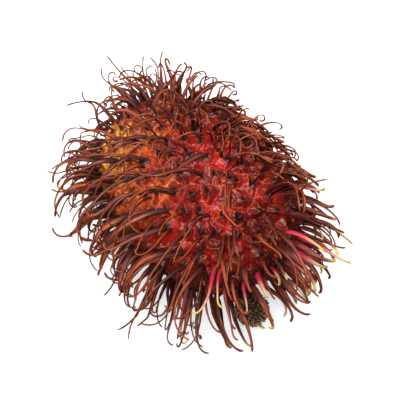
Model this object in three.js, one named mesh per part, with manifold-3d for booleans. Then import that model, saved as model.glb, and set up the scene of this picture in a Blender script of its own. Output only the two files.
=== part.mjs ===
// A picked rambutan, lying on its side. Millimetres, +Z up.
// +X runs along the fruit from its apex to its stem end, and the origin is the middle of the flat spot it rests on.
// Its rind is covered in low tubercles, and most of them carry a spintern: a soft spine that is flat and broad at
// the root and a thread at the tip. By its stem end stands the fruit's stunted twin, a small bristly knob.
import * as THREE from "three";
import { ConvexHull } from "three/addons/math/ConvexHull.js";
import { mergeVertices } from "three/addons/utils/BufferGeometryUtils.js";
import Module from "manifold-3d";

const wasm = await Module();
wasm.setup();

// The rind, measured to the valleys between its tubercles.
const HALF_LENGTH = 23.8;
const HALF_WIDTH = 16.9;
const HALF_HEIGHT = 16.2;
const FULLNESS = 2.25; // 2 is an ellipsoid, and more is squarer
const STEM_END_SWELL = 0.04; // how much thicker the stem half is than the apex half
const REST_DEPTH = 0.6; // how far the fruit's weight flattens it

// The tubercles and the size of their spinterns.
const TUBERCLES = 420;
const TUBERCLE_HEIGHT = 1.2;
const TUBERCLE_JITTER = 0.16; // of the spacing between tubercles
const SPINTERN_LENGTH = 13;
const SPINTERN_LENGTH_SPREAD = 3;
const ROOT_HALF_WIDTH = 0.58;
const ROOT_HALF_WIDTH_SPREAD = 0.1;
const THREAD_HALF_WIDTH = 0.22;
const FLATNESS = 0.75; // thickness over width
const STEPS = 24; // of a spintern's path
const RING_STEPS = [0, 7, 14, 20]; // the steps at which the path has a ring of corners, before its tip

// How the spinterns lie.
const COMB = 0.5; // lean towards the nearer end of the fruit
const SWAY = 0.42; // lean to any side
const DROOP = 1.5; // bend under their own weight over their whole length, in radians
const SAG_WAY = new THREE.Vector3(0.35, -0.3, -0.89).normalize(); // they dried while the fruit leant a little
const STIFF_SHARE = 0.7; // of the droop, which the fresher ones by the stem end and a tuft above are spared
const STIFF_SIDE = new THREE.Vector3(-0.7, 0.33, 0.63).normalize(); // of the tuft
const CURL = 2.6; // most that a tip bends to any side, in radians
const RIND_CLEARANCE = 1.1; // above the tubercles
const CLEARANCE = 0.35; // from the table and from each other
const BEADS = 20; // places along a spintern that are kept clear of the others
const ATTEMPTS = 14; // ways that a spintern tries to lie before it is left out

// Many spinterns have worn off the side that was handled, and those beside it are brushed one way. Short ones are
// matted where the fruit lay against another.
const WORN_SIDE = new THREE.Vector3(0.52, -0.27, 0.81).normalize();
const WORN_SHARE = 0.45;
const WORN_SWAY = 3.2; // how many times more the last ones there lean
const BARE_SIDE = new THREE.Vector3(-0.68, -0.45, 0.57).normalize(); // a small spot, by the apex
const BARE_SHARE = 0.9;
const BRUSHED_SIDE = new THREE.Vector3(0.17, -0.7, 0.69).normalize();
const BRUSH_WAY = new THREE.Vector3(-0.7, -0.7, -0.15).normalize();
const BRUSHED_LEAN = 1.2;
const PRESSED_SIDE = new THREE.Vector3(-0.05, 0.86, 0.51).normalize();
const PRESSED_LEAN = 1.6;

// The sides where they are short: the matted one, low down, beside the stem end, and over the knob. Each has the
// cosines where it starts and is full, and the share of their length that they lack there.
const SHORT_SIDES = [
  { side: PRESSED_SIDE, low: 0.55, full: 0.9, share: 0.4 },
  { side: new THREE.Vector3(-0.1, -0.85, -0.35).normalize(), low: 0.55, full: 0.9, share: 0.18 },
  { side: new THREE.Vector3(0.8, 0.58, -0.15).normalize(), low: 0.55, full: 0.9, share: 0.3 },
  { side: new THREE.Vector3(0.96, -0.22, 0.1).normalize(), low: 0.93, full: 0.98, share: 0.45 },
];

// The bristly knob, on a neck that goes into the rind.
const KNOB_SIDE = new THREE.Vector3(0.88, -0.23, -0.44).normalize();
const KNOB_RADIUS = 3.7;
const KNOB_RISE = 4.4; // from the rind to the knob's middle
const BRISTLES = 110;
const BRISTLE_LENGTH = 0.9;
const BRISTLE_LENGTH_SPREAD = 0.35;
const BRISTLE_HALF_WIDTH = 0.32;
const NECK_RADIUS = 2;
const NECK_DEPTH = 1.4;
const FIT_GAP = 0.3;

const GOLDEN_ANGLE = Math.PI * (3 - Math.sqrt(5));
const AXES = new THREE.Vector3(HALF_LENGTH, HALF_WIDTH, HALF_HEIGHT);
const CENTRE = new THREE.Vector3(0, 0, HALF_HEIGHT - REST_DEPTH);
const TO_STEM = new THREE.Vector3(1, 0, 0);

const { lerp, smoothstep } = THREE.MathUtils;

// A generator of numbers from 0 to 1, the same for the same seed.
function drawsFrom(seed) {
  const MODULUS = 2147483647;
  const MULTIPLIER = 16807;
  let state = (seed * seed * MULTIPLIER + 1) % MODULUS;
  return () => {
    state = (state * MULTIPLIER) % MODULUS;
    return state / MODULUS;
  };
}

// Directions spread evenly round a ball, on a golden-angle spiral about X, each jogged a little.
function spreadDirections(count) {
  const jog = 2 * TUBERCLE_JITTER * Math.sqrt((4 * Math.PI) / count);
  return Array.from({ length: count }, (_, i) => {
    const draw = drawsFrom(i + 1);
    const polar = Math.acos(1 - (2 * i + 1) / count) + jog * (draw() - 0.5);
    const round = Math.sin(polar);
    const angle = i * GOLDEN_ANGLE + (jog * (draw() - 0.5)) / Math.max(round, 0.2);
    return new THREE.Vector3(Math.cos(polar), round * Math.cos(angle), round * Math.sin(angle));
  });
}

function fullnessNorm(x, round) {
  return Math.pow(Math.pow(Math.abs(x), FULLNESS) + Math.pow(round, FULLNESS), 1 / FULLNESS);
}

// How far out a point is: 1 on the rind's valleys, and more outside them.
function level(point) {
  const p = point.clone().sub(CENTRE).divide(AXES);
  return fullnessNorm(p.x, Math.hypot(p.y, p.z) / (1 + STEM_END_SWELL * p.x));
}

// The point of the rind's valleys in a direction, before the flat spot.
function rindPoint(direction) {
  const p = direction.clone().divideScalar(fullnessNorm(direction.x, Math.hypot(direction.y, direction.z)));
  const swell = 1 + STEM_END_SWELL * p.x;
  return new THREE.Vector3(p.x, p.y * swell, p.z * swell).multiply(AXES).add(CENTRE);
}

function rindNormal(point) {
  const p = point.clone().sub(CENTRE).divide(AXES);
  const round = Math.pow(Math.max(Math.hypot(p.y, p.z), 1e-6), FULLNESS - 2);
  const along = Math.sign(p.x) * Math.pow(Math.abs(p.x), FULLNESS - 1);
  return new THREE.Vector3(along, round * p.y, round * p.z).divide(AXES).normalize();
}

const DIRECTIONS = spreadDirections(TUBERCLES);
const KNOB_FOOT = rindPoint(KNOB_SIDE);
const KNOB_AXIS = rindNormal(KNOB_FOOT);
const KNOB_CENTRE = KNOB_FOOT.clone().addScaledVector(KNOB_AXIS, KNOB_RISE);

// The top of a tubercle. They sink away under the knob.
function tubercleTop(direction) {
  const foot = rindPoint(direction);
  const share = smoothstep(foot.distanceTo(KNOB_FOOT), NECK_RADIUS + 1, KNOB_RADIUS + 2);
  return foot.addScaledVector(rindNormal(foot), TUBERCLE_HEIGHT * share);
}

// Moves a point of a spintern out of the tubercles and the knob and above the table.
function keepClear(point, share, halfWidth) {
  const rise = TUBERCLE_HEIGHT + RIND_CLEARANCE * Math.min(1, 3 * share);
  const lowestLevel = 1 + rise / HALF_WIDTH;
  const room = KNOB_RADIUS + CLEARANCE + halfWidth;
  for (let pass = 0; pass < 3; pass++) {
    const outward = Math.max(1, lowestLevel / level(point));
    point.sub(CENTRE).multiplyScalar(outward).add(CENTRE);
    if (point.distanceTo(KNOB_CENTRE) < room) point.sub(KNOB_CENTRE).setLength(room).add(KNOB_CENTRE);
    point.z = Math.max(point.z, CLEARANCE + halfWidth);
  }
}

function wornAt(direction) {
  return smoothstep(direction.dot(WORN_SIDE), 0.76, 0.97);
}

function lostShare(direction) {
  const bare = smoothstep(direction.dot(BARE_SIDE), 0.93, 0.97);
  return Math.max(WORN_SHARE * wornAt(direction), BARE_SHARE * bare);
}

function shortening(direction) {
  const shares = SHORT_SIDES.map(({ side, low, full, share }) => share * smoothstep(direction.dot(side), low, full));
  return shares.reduce((sum, share) => sum + share, 0);
}

// The length, width, first heading, curl and droop of spintern i, as drawn at an attempt.
function spinternHabit(i, attempt) {
  const direction = DIRECTIONS[i];
  const normal = rindNormal(rindPoint(direction));
  const toStem = TO_STEM.clone().addScaledVector(normal, -normal.x).normalize();
  const aside = normal.clone().cross(toStem);
  const draw = drawsFrom(1 + i * ATTEMPTS + attempt);
  const pressed = smoothstep(direction.dot(PRESSED_SIDE), 0.55, 0.9);
  const sway = SWAY * lerp(1, WORN_SWAY, wornAt(direction)) * Math.sqrt(draw());
  const spread = SPINTERN_LENGTH_SPREAD;
  const length = lerp(SPINTERN_LENGTH - spread, SPINTERN_LENGTH + spread, draw()) * (1 - shortening(direction));
  const rootHalfWidth = ROOT_HALF_WIDTH + ROOT_HALF_WIDTH_SPREAD * (2 * draw() - 1);
  const swayAngle = 2 * Math.PI * draw();
  const heading = normal
    .clone()
    .addScaledVector(toStem, COMB * direction.x + PRESSED_LEAN * pressed + sway * Math.cos(swayAngle))
    .addScaledVector(aside, sway * Math.sin(swayAngle))
    .addScaledVector(BRUSH_WAY, BRUSHED_LEAN * smoothstep(direction.dot(BRUSHED_SIDE), 0.6, 0.9))
    .normalize();
  const curlAngle = 2 * Math.PI * draw();
  const curl = toStem
    .multiplyScalar(Math.cos(curlAngle))
    .addScaledVector(aside, Math.sin(curlAngle))
    .multiplyScalar(CURL * draw());
  const inTuft = smoothstep(direction.dot(STIFF_SIDE), 0.88, 0.98);
  const droop = DROOP * (1 - STIFF_SHARE * Math.max(smoothstep(direction.x, 0.1, 0.7), inTuft));
  return { start: tubercleTop(direction), normal, aside, length, rootHalfWidth, heading, curl, droop };
}

// A spintern's path: its points, its half widths, and the direction across its broad side.
function spinternPath({ start, normal, aside, length, rootHalfWidth, heading, curl, droop }) {
  const widthAt = (share) => lerp(THREAD_HALF_WIDTH, rootHalfWidth, Math.pow(1 - share, 0.7));
  const points = [start];
  const halfWidths = [widthAt(0)];
  for (let step = 1; step <= STEPS; step++) {
    const share = step / STEPS;
    const last = points[step - 1];
    heading
      .addScaledVector(SAG_WAY, droop / STEPS)
      .addScaledVector(curl, (2 * share * share) / STEPS)
      .normalize();
    const point = last.clone().addScaledVector(heading, length / STEPS);
    keepClear(point, share, widthAt(share));
    heading.copy(point).sub(last).normalize();
    points.push(point);
    halfWidths.push(widthAt(share));
  }
  const across = points[STEPS].clone().sub(start).cross(normal);
  if (across.length() < 1) across.copy(aside);
  return { points, halfWidths, across: across.normalize(), normal };
}

// Balls along the straight runs between a spintern's rings, which are kept clear of the others.
function beadsOf({ points, halfWidths }) {
  const stops = [...RING_STEPS, STEPS];
  return Array.from({ length: BEADS }, (_, b) => {
    const place = ((b + 1) / BEADS) * STEPS;
    const run = stops.findIndex((stop) => stop >= place);
    const [from, to] = [stops[run - 1], stops[run]];
    const share = (place - from) / (to - from);
    return {
      centre: points[from].clone().lerp(points[to], share),
      radius: lerp(halfWidths[from], halfWidths[to], share),
    };
  });
}

function areClear(beads, others) {
  return beads.every((bead) =>
    others.every((other) => {
      const gap = bead.centre.distanceTo(other.centre) - bead.radius - other.radius;
      return gap > CLEARANCE;
    }),
  );
}

function bearsSpintern(i) {
  const direction = DIRECTIONS[i];
  const byKnob = rindPoint(direction).distanceTo(KNOB_FOOT) < KNOB_RADIUS + 1;
  const underFruit = tubercleTop(direction).z < 1;
  return !byKnob && !underFruit && drawsFrom(TUBERCLES + i + 1)() >= lostShare(direction);
}

// A path for each tubercle that bears a spintern, which tries new ways to lie until it is clear of those before it.
function placeSpinterns() {
  const paths = new Map();
  const placed = [];
  for (let i = 0; i < TUBERCLES; i++) {
    if (!bearsSpintern(i)) continue;
    for (let attempt = 0; attempt < ATTEMPTS && !paths.has(i); attempt++) {
      const path = spinternPath(spinternHabit(i, attempt));
      const beads = beadsOf(path);
      const middle = beads[BEADS / 2].centre;
      const near = placed.filter((other) => other.middle.distanceTo(middle) < 2 * SPINTERN_LENGTH);
      if (near.every((other) => areClear(beads, other.beads))) {
        placed.push({ beads, middle });
        paths.set(i, path);
      }
    }
  }
  return paths;
}

// A three-cornered ring about a heading, anticlockwise as seen from where it heads.
function ring(centre, heading, across, halfWidth) {
  const wide = across.clone().addScaledVector(heading, -across.dot(heading)).normalize();
  const high = heading.clone().cross(wide);
  return [Math.PI / 6, (5 * Math.PI) / 6, (3 * Math.PI) / 2].map((angle) =>
    centre
      .clone()
      .addScaledVector(wide, halfWidth * Math.cos(angle))
      .addScaledVector(high, halfWidth * FLATNESS * Math.sin(angle)),
  );
}

// The rings of corners up a spintern, and its tip.
function spinternRings({ points, halfWidths, across, normal }) {
  const rings = RING_STEPS.map((step) => {
    const heading = points[step + 2].clone().sub(points[Math.max(step - 2, 0)]).normalize();
    if (step === 0) heading.add(normal).normalize();
    return ring(points[step], heading, across, halfWidths[step]);
  });
  return [...rings, [points[STEPS]]];
}

// Triangles that join two rings of corners, or a ring and a tip, with their outsides out. The lower ring is turned
// to where its corners are nearest to the upper ring's, and both are walked round at an even pace.
function bridge(lower, upper, corners, triangles) {
  const low = (k, turn) => lower[(turn + k) % lower.length];
  const high = (k) => upper[k % upper.length];
  const pace = upper.length / lower.length;
  const reach = (turn) =>
    lower.reduce((sum, _, k) => sum + corners[low(k, turn)].distanceTo(corners[high(Math.round(k * pace))]), 0);
  const turn = lower.map((_, k) => k).reduce((best, k) => (reach(k) < reach(best) ? k : best));
  const upperSteps = upper.length > 1 ? upper.length : 0;
  let a = 0;
  let b = 0;
  while (a < lower.length || b < upperSteps) {
    const lowerMoves = (a + 1) * upperSteps <= (b + 0.5) * lower.length;
    if (lowerMoves) triangles.push([low(a, turn), low(++a, turn), high(b)]);
    else triangles.push([low(a, turn), high(b + 1), high(b++)]);
  }
}

// One closed surface round a ball of directions. Between each three neighbours it has a low corner, and on each
// direction stands the stack of rings that ringsOf gives.
function growOn(directions, lowCorner, ringsOf) {
  const corners = [];
  const triangles = [];
  const faceBeside = new Map(); // from "a b" to the face on the left of the edge from a to b
  const anyNeighbour = new Map();
  for (const face of new ConvexHull().setFromPoints(directions).faces) {
    const ends = [face.edge.tail(), face.edge.head(), face.edge.next.head()];
    const [a, b, c] = ends.map((end) => directions.indexOf(end.point));
    const middle = directions[a].clone().add(directions[b]).add(directions[c]).normalize();
    const corner = corners.push(lowCorner(middle)) - 1;
    for (const [from, to, third] of [[a, b, c], [b, c, a], [c, a, b]]) {
      faceBeside.set(`${from} ${to}`, { corner, third });
      anyNeighbour.set(from, to);
    }
  }
  for (let i = 0; i < directions.length; i++) {
    let lower = [];
    let neighbour = anyNeighbour.get(i);
    do {
      const { corner, third } = faceBeside.get(`${i} ${neighbour}`);
      lower.push(corner);
      neighbour = third;
    } while (neighbour !== anyNeighbour.get(i));
    for (const points of ringsOf(i)) {
      const upper = points.map((point) => corners.push(point) - 1);
      bridge(lower, upper, corners, triangles);
      lower = upper;
    }
    if (lower.length > 1) triangles.push(lower);
  }
  return new THREE.BufferGeometry()
    .setAttribute("position", new THREE.Float32BufferAttribute(corners.flatMap((c) => c.toArray()), 3))
    .setIndex(triangles.flat());
}

// A closed three.js geometry as a manifold-3d solid.
function solidOf(geometry) {
  const bare = geometry.clone();
  bare.deleteAttribute("normal");
  bare.deleteAttribute("uv");
  const merged = mergeVertices(bare, 1e-4);
  const triVerts = Uint32Array.from(merged.index.array);
  return new wasm.Manifold(
    new wasm.Mesh({ numProp: 3, vertProperties: merged.attributes.position.array, triVerts }),
  );
}

function geometryOf(solid) {
  const { vertProperties, triVerts } = solid.getMesh();
  return new THREE.BufferGeometry()
    .setAttribute("position", new THREE.BufferAttribute(vertProperties, 3))
    .setIndex(new THREE.BufferAttribute(triVerts, 1));
}

// A round post on the knob's axis, from below the rind's surface to above it.
function postOnKnobAxis(radius, below, above) {
  const post = new THREE.CylinderGeometry(radius, radius, above + below, 20);
  post.translate(0, (above - below) / 2, 0);
  post.applyQuaternion(new THREE.Quaternion().setFromUnitVectors(new THREE.Vector3(0, 1, 0), KNOB_AXIS));
  return solidOf(post.translate(...KNOB_FOOT));
}

function makeFruit() {
  const paths = placeSpinterns();
  const ringsOf = (i) => {
    if (paths.has(i)) return spinternRings(paths.get(i));
    const top = tubercleTop(DIRECTIONS[i]);
    const normal = rindNormal(top);
    return [ring(top, normal, normal.clone().cross(TO_STEM), ROOT_HALF_WIDTH)];
  };
  const grown = solidOf(growOn(DIRECTIONS, rindPoint, ringsOf));
  const table = solidOf(new THREE.BoxGeometry(200, 200, 20).translate(0, 0, -10));
  const socket = postOnKnobAxis(NECK_RADIUS + FIT_GAP, NECK_DEPTH + FIT_GAP, KNOB_RISE);
  return grown.subtract(table).subtract(socket);
}

function makeKnob() {
  const directions = spreadDirections(BRISTLES);
  const at = (direction, radius) => KNOB_CENTRE.clone().addScaledVector(direction, radius);
  const core = (direction) => at(direction, KNOB_RADIUS - BRISTLE_LENGTH);
  const ringsOf = (i) => {
    const direction = directions[i];
    const top = at(direction, KNOB_RADIUS - BRISTLE_LENGTH_SPREAD * drawsFrom(i + 1)());
    return [ring(top, direction, direction.clone().cross(TO_STEM), BRISTLE_HALF_WIDTH)];
  };
  const ball = solidOf(growOn(directions, core, ringsOf));
  return ball.add(postOnKnobAxis(NECK_RADIUS, NECK_DEPTH, KNOB_RISE - BRISTLE_LENGTH));
}

function named(name, solid, material) {
  const mesh = new THREE.Mesh(geometryOf(solid), material);
  mesh.name = name;
  return mesh;
}

const crimsonRind = new THREE.MeshStandardMaterial({ color: 0x9e2b22, roughness: 0.35, metalness: 0 });
const driedBrown = new THREE.MeshStandardMaterial({ color: 0x4c3227, roughness: 0.9, metalness: 0 });

const rambutan = new THREE.Group();
rambutan.add(named("spiny_rind", makeFruit(), crimsonRind));
rambutan.add(named("bristly_knob", makeKnob(), driedBrown));

export default rambutan;
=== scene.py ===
"""A picked rambutan lying on its side: a crimson, waxy rind full of tubercles, the soft spines called
spinterns that most of them carry, and the small bristly twin beside the place of its stalk.

+X runs from the fruit's apex to its stem end. The origin is the middle of the flat spot that it rests on.
Shapes are worked out in millimetres, by the rules that the solid model follows, and made in metres."""
import math

import bpy
import numpy as np
from mathutils import Matrix, Vector, noise


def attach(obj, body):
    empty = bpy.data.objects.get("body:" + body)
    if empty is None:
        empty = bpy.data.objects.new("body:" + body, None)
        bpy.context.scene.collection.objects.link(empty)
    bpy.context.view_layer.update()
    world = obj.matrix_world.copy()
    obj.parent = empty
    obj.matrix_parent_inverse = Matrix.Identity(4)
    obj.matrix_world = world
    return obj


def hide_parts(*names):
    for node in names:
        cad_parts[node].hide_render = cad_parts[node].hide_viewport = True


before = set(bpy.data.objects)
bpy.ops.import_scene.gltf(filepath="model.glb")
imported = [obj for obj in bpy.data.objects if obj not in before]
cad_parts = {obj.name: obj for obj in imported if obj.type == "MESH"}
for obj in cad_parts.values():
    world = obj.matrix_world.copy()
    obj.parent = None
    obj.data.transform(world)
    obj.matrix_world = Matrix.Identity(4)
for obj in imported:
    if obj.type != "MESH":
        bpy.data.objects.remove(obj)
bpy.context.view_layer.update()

# ----------------------------------------
# The rind. One living skin, grown all round the fruit, with some four hundred low tubercles and a thin wax.
# It is crimson where the sun reached it and orange to ochre by the apex. Its weight flattens it below.
# Away from its sunny side it is darkened brown, partly by drying and partly as painted shade under the
# spinterns.
# ----------------------------------------
MM = 0.001
HALF_SIZES = np.array([23.8, 16.9, 16.2])  # of the valleys between the tubercles
FULLNESS = 2.25  # 2 is an ellipsoid, and more is squarer
STEM_END_SWELL = 0.04
REST_DEPTH = 0.6  # how much of it the flat spot takes away
TUBERCLES = 420
TUBERCLE_HEIGHT = 1.2
TUBERCLE_JITTER = 0.16  # of the room round each, how far it is off its even place
CENTRE = np.array([0.0, 0.0, HALF_SIZES[2] - REST_DEPTH])
KNOB_RADIUS = 3.7
KNOB_RISE = 4.4  # of its centre over the rind
NECK_RADIUS = 2.0
GOLDEN_ANGLE = math.pi * (3 - math.sqrt(5))
TO_STEM = np.array([1.0, 0.0, 0.0])
RIND_GRAIN = 5  # cuts of each edge of the ball that the rind is shaped from
PAD_SHARE = 0.25  # of a tubercle's height that is its broad pad, under its peak
BORDER_WANDER_SIZE, BORDER_WANDER = 2.2, 0.75  # of the wavy borders between tubercles
PEAK_SHARPNESS = 1.6  # 1 is a cone, and more is more pointed
NET_SIZE, NET_HEIGHT, NET_FINENESS = 2.4, 0.3, 3.5  # of the net of thin raised lines
RIB_HEIGHT, FEWEST_RIBS, MORE_RIBS = 0.14, 4, 2  # of the ribs down a tubercle
WRINKLE_SIZE, WRINKLE_DEPTH = 1.7, 0.55
RIPE_LEAN = 1.2  # how far the plumpest peaks lean towards the stem end
RIPE_RISE = 0.5  # how much higher they stand, of a peak's height
RIPE_WRINKLES, RIPE_NET = 0.4, 0.3  # what the plumpest keep of the wrinkles and the net
CROWN_RADIUS, CROWN_RADIUS_SPREAD = 0.45, 0.5  # of the dead tissue on a tubercle's top
HALO_RADIUS = 1.5  # of the faded skin round it
ORANGE_SPINE = np.array([[-15.0, -8.0, 26.0], [-3.0, -14.0, 24.0]])  # ends of the orange area's middle line
ORANGE_EDGES = (11.5, 3)  # how far from that line it starts and is full
OCHRE_SPOT = np.array([-14.1, -11.0, 24.4])
OCHRE_EDGES = (9, 2)
COUNTED_AT_ONCE = 8000  # points whose nearest tubercles are looked up together


def smoothstep(value, low, high):
    t = np.clip((value - low) / (high - low), 0, 1)
    return t * t * (3 - 2 * t)


def mixed(low, high, share):
    return (1 - share) * low + share * high


def lengths(vectors):
    return np.linalg.norm(vectors, axis=-1)


def unit(vectors):
    return vectors / np.maximum(lengths(vectors)[..., None], 1e-12)


def fruit_side(x, y, z, start, full):
    """A side of the fruit: the way to its middle, and the cosines to that where it starts and is full."""
    return unit(np.array([x, y, z])), start, full


def within(directions, side):
    """How far into a side of the fruit each direction is, from 0 to 1."""
    middle, start, full = side
    return smoothstep(directions @ middle, start, full)


def draws_from(seeds):
    """A function that gives the next number from 0 to 1 for each seed, the same for the same seed."""
    modulus, multiplier = 2147483647, 16807
    seeds = np.asarray(seeds, dtype=np.int64)
    state = [(seeds * seeds * multiplier + 1) % modulus]

    def draw():
        state[0] = (state[0] * multiplier) % modulus
        return state[0] / modulus

    return draw


def spread_directions(count):
    """Directions spread evenly round a ball, on a golden-angle spiral about X, each jogged a little."""
    i = np.arange(count)
    draw = draws_from(i + 1)
    jog = 2 * TUBERCLE_JITTER * math.sqrt(4 * math.pi / count)
    polar = np.arccos(1 - (2 * i + 1) / count) + jog * (draw() - 0.5)
    around = np.sin(polar)
    narrowest = 0.2  # so that none whirls round a pole
    angle = i * GOLDEN_ANGLE + jog * (draw() - 0.5) / np.maximum(around, narrowest)
    return np.stack([np.cos(polar), around * np.cos(angle), around * np.sin(angle)], axis=1)


def fullness_norm(x, around):
    return (np.abs(x) ** FULLNESS + around**FULLNESS) ** (1 / FULLNESS)


def level(points):
    """How far out each point is: 1 on the rind's valleys, and more outside them."""
    p = (points - CENTRE) / HALF_SIZES
    return fullness_norm(p[..., 0], np.hypot(p[..., 1], p[..., 2]) / (1 + STEM_END_SWELL * p[..., 0]))


def rind_points(directions):
    """The points of the rind's valleys in these directions, before the flat spot."""
    reach = fullness_norm(directions[..., 0], np.hypot(directions[..., 1], directions[..., 2]))
    p = directions / reach[..., None]
    p[..., 1:] *= 1 + STEM_END_SWELL * p[..., :1]
    return p * HALF_SIZES + CENTRE


def rind_normals(points):
    p = (points - CENTRE) / HALF_SIZES
    around = np.maximum(np.hypot(p[..., 1], p[..., 2]), 1e-6) ** (FULLNESS - 2)
    along = np.sign(p[..., 0]) * np.abs(p[..., 0]) ** (FULLNESS - 1)
    return unit(np.stack([along, around * p[..., 1], around * p[..., 2]], axis=-1) / HALF_SIZES)


KNOB_SIDE = unit(np.array([0.88, -0.23, -0.44]))
# Away from this side the rind is darkened: partly its drying, partly painted shade under the spinterns.
SUNNY_UNSHADED_SIDE = fruit_side(0.35, -0.45, 0.82, 0.3, 0.82)  # which has dried the least
RIPE_SIDE = fruit_side(0.85, -0.2, 0.45, 0.55, 0.85)  # where the tubercles are plumpest
KNOB_FOOT = rind_points(KNOB_SIDE)
KNOB_AXIS = rind_normals(KNOB_FOOT)
KNOB_CENTRE = KNOB_FOOT + KNOB_AXIS * KNOB_RISE
DIRECTIONS = spread_directions(TUBERCLES)
FEET = rind_points(DIRECTIONS)
NORMALS = rind_normals(FEET)
STEMWARD = unit(TO_STEM - NORMALS * NORMALS[:, :1])
SIDEWAYS = np.cross(NORMALS, STEMWARD)


def clear_of_knob(points):
    """0 under the knob, where tubercles sink away, and 1 well away from it."""
    return smoothstep(lengths(points - KNOB_FOOT), NECK_RADIUS + 1, KNOB_RADIUS + 2)


def noise_at(points, size, seed=0.0):
    """Smooth noise from -1 to 1 at each point, in millimetres, with features of a size."""
    shift = Vector((seed, 2 * seed, 3 * seed))
    return np.array([noise.noise(Vector(p) / size + shift) for p in points])


def set_measure(piece, name, values):
    """Keeps a number for each corner of a piece, or of each of its ribbons, which its material reads."""
    values = np.repeat(values, len(piece.data.vertices) // len(values))
    measure = piece.data.attributes.new(name, "FLOAT", "POINT")
    measure.data.foreach_set("value", values.astype(np.float32))


def nearest_tubercles(points):
    """The nearest tubercle to each point, and the distances to it and to the next one."""
    nearest = np.empty(len(points), dtype=int)
    reaches = np.empty((len(points), 2))
    for start in range(0, len(points), COUNTED_AT_ONCE):
        some = slice(start, start + COUNTED_AT_ONCE)
        part = points[some]
        squares = (part**2).sum(1)[:, None] + (FEET**2).sum(1)[None] - 2 * part @ FEET.T
        two = np.argpartition(squares, 1, axis=1)[:, :2]
        reach = np.sqrt(np.maximum(np.take_along_axis(squares, two, axis=1), 0))
        nearest[some] = two[np.arange(len(part)), reach.argmin(1)]
        reaches[some] = np.sort(reach, axis=1)
    return nearest, reaches[:, 0], reaches[:, 1]


def reach_to_spine(points, spine):
    """How far each point is from a straight line between two ends."""
    start, end = spine
    share = np.clip(((points - start) @ (end - start)) / ((end - start) @ (end - start)), 0, 1)
    return lengths(points - start - share[:, None] * (end - start))


def make_rind():
    """A fine ball pushed out to the rind's valleys, then to its tubercles, ribs, net and wrinkles."""
    bpy.ops.object.select_all(action="DESELECT")
    bpy.ops.mesh.primitive_ico_sphere_add(subdivisions=5, radius=1)
    rind = bpy.context.object
    rind.name = rind.data.name = "rind"
    bpy.ops.object.mode_set(mode="EDIT")
    bpy.ops.mesh.select_all(action="SELECT")
    bpy.ops.mesh.subdivide(number_cuts=RIND_GRAIN)
    bpy.ops.object.mode_set(mode="OBJECT")
    flat = np.empty(len(rind.data.vertices) * 3, dtype=np.float32)
    rind.data.vertices.foreach_get("co", flat)
    valleys = rind_points(unit(flat.reshape(-1, 3).astype(float)))

    wander = np.stack([noise_at(valleys, BORDER_WANDER_SIZE, seed) for seed in (3.1, 7.7, 12.9)], axis=1)
    wandered = valleys + BORDER_WANDER * wander
    nearest, first, second = nearest_tubercles(wandered)
    inward = (second - first) / (second + first)  # 0 on a cell's border and 1 on its tubercle
    offset = wandered - FEET[nearest]
    turn = np.arctan2((offset * SIDEWAYS[nearest]).sum(1), (offset * STEMWARD[nearest]).sum(1))
    draw = draws_from(nearest + 31)
    tone = draw()
    rib_count = np.round(FEWEST_RIBS + MORE_RIBS * draw())
    ribs = np.cos(rib_count * turn + 2 * math.pi * draw() + 3 * wander[:, 0])
    pad = PAD_SHARE * smoothstep(inward, 0, 0.4)
    peak = (1 - PAD_SHARE) * inward**PEAK_SHARPNESS
    net = np.clip(1 - NET_FINENESS * np.abs(noise_at(wandered, NET_SIZE, 55.5)), 0, 1) ** 2
    flank = 4 * inward * (1 - inward)
    ripe = within(unit(valleys - CENTRE), RIPE_SIDE)
    wrinkle = noise_at(valleys, WRINKLE_SIZE, 21.3) * (0.4 + 0.6 * flank) * mixed(1, RIPE_WRINKLES, ripe)
    swell = pad + peak * (1 + RIPE_RISE * ripe)
    rise = TUBERCLE_HEIGHT * swell + RIB_HEIGHT * ribs * flank + WRINKLE_DEPTH * wrinkle
    rise = (rise + NET_HEIGHT * net * mixed(1, RIPE_NET, ripe)) * clear_of_knob(valleys)
    lean = RIPE_LEAN * ripe * peak * clear_of_knob(valleys)
    points = valleys + rind_normals(valleys) * rise[:, None] + STEMWARD[nearest] * lean[:, None]
    points[:, 2] = np.maximum(points[:, 2], 0)  # which makes the flat spot
    rind.data.vertices.foreach_set("co", (points * MM).astype(np.float32).ravel())
    rind.data.update()

    crown_radii = CROWN_RADIUS + CROWN_RADIUS_SPREAD * draw()
    blotch = 5 * noise_at(valleys, 5.0, 40.7) + 3 * noise_at(valleys, 1.8, 60.1)
    measures = {
        "border": smoothstep(inward, 0.45, 0.05),
        "net": net,
        "crown": np.exp(-((first / crown_radii) ** 2)),
        "halo": np.exp(-((first / HALO_RADIUS) ** 2)),
        "flank": flank * (0.5 + 0.5 * ribs),
        "tone": tone,
        "orange": smoothstep(reach_to_spine(valleys, ORANGE_SPINE) + blotch, *ORANGE_EDGES),
        "ochre": smoothstep(lengths(valleys - OCHRE_SPOT) + blotch, *OCHRE_EDGES),
        # partly drying, partly painted shade under the spinterns, away from the sunny side
        "dried": 1 - within(unit(valleys - CENTRE), SUNNY_UNSHADED_SIDE),
    }
    for name, values in measures.items():
        set_measure(rind, name, values)
    bpy.ops.object.shade_smooth()
    return rind


def linear(hex_colour):
    """An sRGB colour such as "9e2b22" as linear red, green, blue and alpha."""
    channels = [int(hex_colour[k : k + 2], 16) / 255 for k in (0, 2, 4)]
    return [c / 12.92 if c <= 0.04045 else ((c + 0.055) / 1.055) ** 2.4 for c in channels] + [1.0]


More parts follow.
